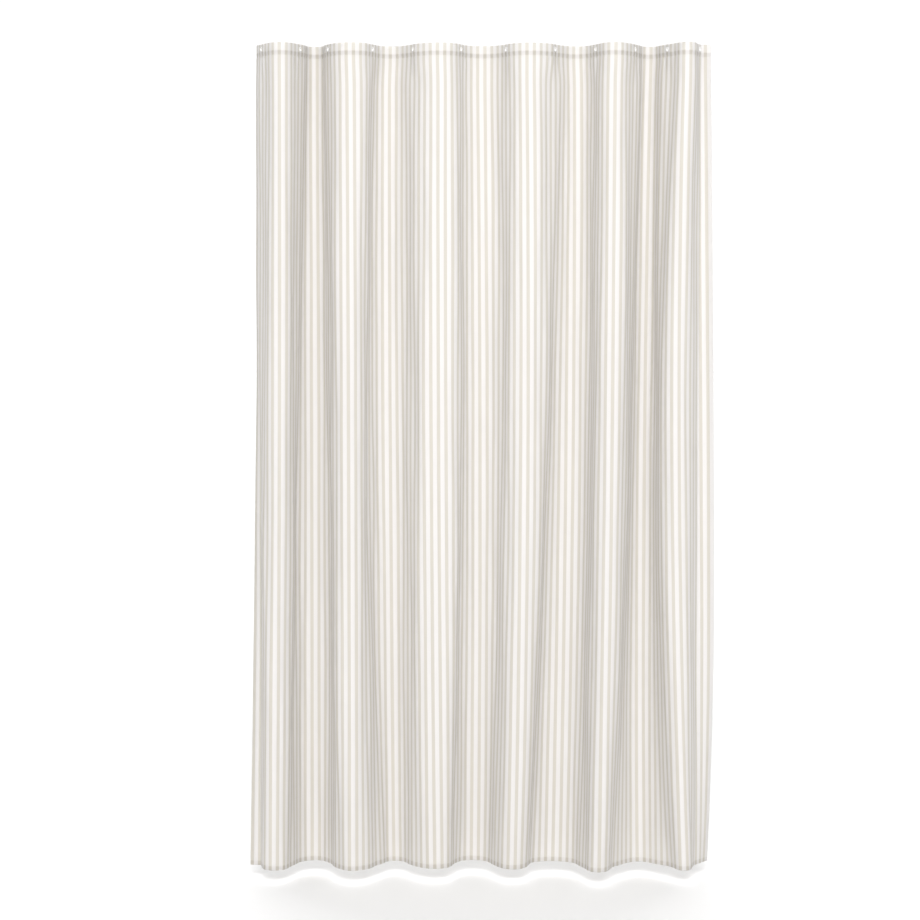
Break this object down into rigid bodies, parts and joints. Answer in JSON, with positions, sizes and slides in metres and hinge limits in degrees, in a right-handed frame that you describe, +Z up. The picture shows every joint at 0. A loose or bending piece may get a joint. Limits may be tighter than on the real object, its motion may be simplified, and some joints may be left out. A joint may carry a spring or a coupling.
{
  "type": "shower curtain",
  "caption": "Striped cloth shower curtain hung in soft vertical folds, with a taped header, small round eyelets and narrow hems; its folds open and close along the rod line.",
  "frame": {"origin": "middle of the eyelet row, on the straight line through the centres of the eyelets at the cloth's front layer", "axes": "+Z up, -Y out of the curtain's front, +X to the right when looking at the front; the row's length is along X"},
  "size_m": [1.1134, 0.1303, 2.0004],
  "materials": {
    "curtain_cloth": "plain weave cotton, greige stripes on off-white",
    "header_tape": "white woven reinforcement tape",
    "eyelet": "satin white",
    "care_label": "smooth white satin ribbon, blank"
  },
  "bodies": {
    "left_side": {"left_side_strip": "curtain_cloth"},
    "panel_01": {"curtain_panel_01": "curtain_cloth", "header_tape_01": "header_tape", "eyelet_front_01": "eyelet", "eyelet_back_01": "eyelet"},
    "panel_02": {"curtain_panel_02": "curtain_cloth", "header_tape_02": "header_tape", "eyelet_front_02": "eyelet", "eyelet_back_02": "eyelet"},
    "panel_03": {"curtain_panel_03": "curtain_cloth", "header_tape_03": "header_tape", "eyelet_front_03": "eyelet", "eyelet_back_03": "eyelet"},
    "panel_04": {"curtain_panel_04": "curtain_cloth", "header_tape_04": "header_tape", "eyelet_front_04": "eyelet", "eyelet_back_04": "eyelet"},
    "panel_05": {"curtain_panel_05": "curtain_cloth", "header_tape_05": "header_tape", "eyelet_front_05": "eyelet", "eyelet_back_05": "eyelet"},
    "panel_06": {"curtain_panel_06": "curtain_cloth", "header_tape_06": "header_tape", "eyelet_front_06": "eyelet", "eyelet_back_06": "eyelet"},
    "panel_07": {"curtain_panel_07": "curtain_cloth", "header_tape_07": "header_tape", "eyelet_front_07": "eyelet", "eyelet_back_07": "eyelet"},
    "panel_08": {"curtain_panel_08": "curtain_cloth", "header_tape_08": "header_tape", "eyelet_front_08": "eyelet", "eyelet_back_08": "eyelet"},
    "panel_09": {"curtain_panel_09": "curtain_cloth", "header_tape_09": "header_tape", "eyelet_front_09": "eyelet", "eyelet_back_09": "eyelet"},
    "panel_10": {"curtain_panel_10": "curtain_cloth", "header_tape_10": "header_tape", "eyelet_front_10": "eyelet", "eyelet_back_10": "eyelet"},
    "panel_11": {"curtain_panel_11": "curtain_cloth", "header_tape_11": "header_tape", "eyelet_front_11": "eyelet", "eyelet_back_11": "eyelet"},
    "panel_12": {"curtain_panel_12": "curtain_cloth", "header_tape_12": "header_tape", "eyelet_front_12": "eyelet", "eyelet_back_12": "eyelet", "care_label": "care_label"}
  },
  "joints": [
    {"name": "gather", "type": "hinge", "parent": "left_side", "child": "panel_01", "pos_m": [-0.5335, 0, 0], "axis": [0, 0, -1], "range_deg": [-36, 22]},
    {"name": "fold_01", "type": "hinge", "parent": "panel_01", "child": "panel_02", "pos_m": [-0.4865, -0.05743, 0], "axis": [0, 0, 1], "range_deg": [-73, 45]},
    {"name": "fold_02", "type": "hinge", "parent": "panel_02", "child": "panel_03", "pos_m": [-0.4055, 0.06536, 0], "axis": [0, 0, -1], "range_deg": [-73, 45]},
    {"name": "fold_03", "type": "hinge", "parent": "panel_03", "child": "panel_04", "pos_m": [-0.3175, -0.05051, 0], "axis": [0, 0, 1], "range_deg": [-73, 45]},
    {"name": "fold_04", "type": "hinge", "parent": "panel_04", "child": "panel_05", "pos_m": [-0.214, 0.05524, 0], "axis": [0, 0, -1], "range_deg": [-73, 45]},
    {"name": "fold_05", "type": "hinge", "parent": "panel_05", "child": "panel_06", "pos_m": [-0.106, -0.04432, 0], "axis": [0, 0, 1], "range_deg": [-73, 45]},
    {"name": "fold_06", "type": "hinge", "parent": "panel_06", "child": "panel_07", "pos_m": [0.0075, 0.04928, 0], "axis": [0, 0, -1], "range_deg": [-73, 45]},
    {"name": "fold_07", "type": "hinge", "parent": "panel_07", "child": "panel_08", "pos_m": [0.122, -0.04266, 0], "axis": [0, 0, 1], "range_deg": [-73, 45]},
    {"name": "fold_08", "type": "hinge", "parent": "panel_08", "child": "panel_09", "pos_m": [0.231, 0.05524, 0], "axis": [0, 0, -1], "range_deg": [-73, 45]},
    {"name": "fold_09", "type": "hinge", "parent": "panel_09", "child": "panel_10", "pos_m": [0.3285, -0.05659, 0], "axis": [0, 0, 1], "range_deg": [-73, 45]},
    {"name": "fold_10", "type": "hinge", "parent": "panel_10", "child": "panel_11", "pos_m": [0.416, 0.06262, 0], "axis": [0, 0, -1], "range_deg": [-73, 45]},
    {"name": "fold_11", "type": "hinge", "parent": "panel_11", "child": "panel_12", "pos_m": [0.4945, -0.0629, 0], "axis": [0, 0, 1], "range_deg": [-73, 45]}
  ],
  "couplings": [
    {"joint": "fold_01", "follows": "gather", "ratio": 2},
    {"joint": "fold_02", "follows": "gather", "ratio": 2},
    {"joint": "fold_03", "follows": "gather", "ratio": 2},
    {"joint": "fold_04", "follows": "gather", "ratio": 2},
    {"joint": "fold_05", "follows": "gather", "ratio": 2},
    {"joint": "fold_06", "follows": "gather", "ratio": 2},
    {"joint": "fold_07", "follows": "gather", "ratio": 2},
    {"joint": "fold_08", "follows": "gather", "ratio": 2},
    {"joint": "fold_09", "follows": "gather", "ratio": 2},
    {"joint": "fold_10", "follows": "gather", "ratio": 2},
    {"joint": "fold_11", "follows": "gather", "ratio": 2}
  ]
}
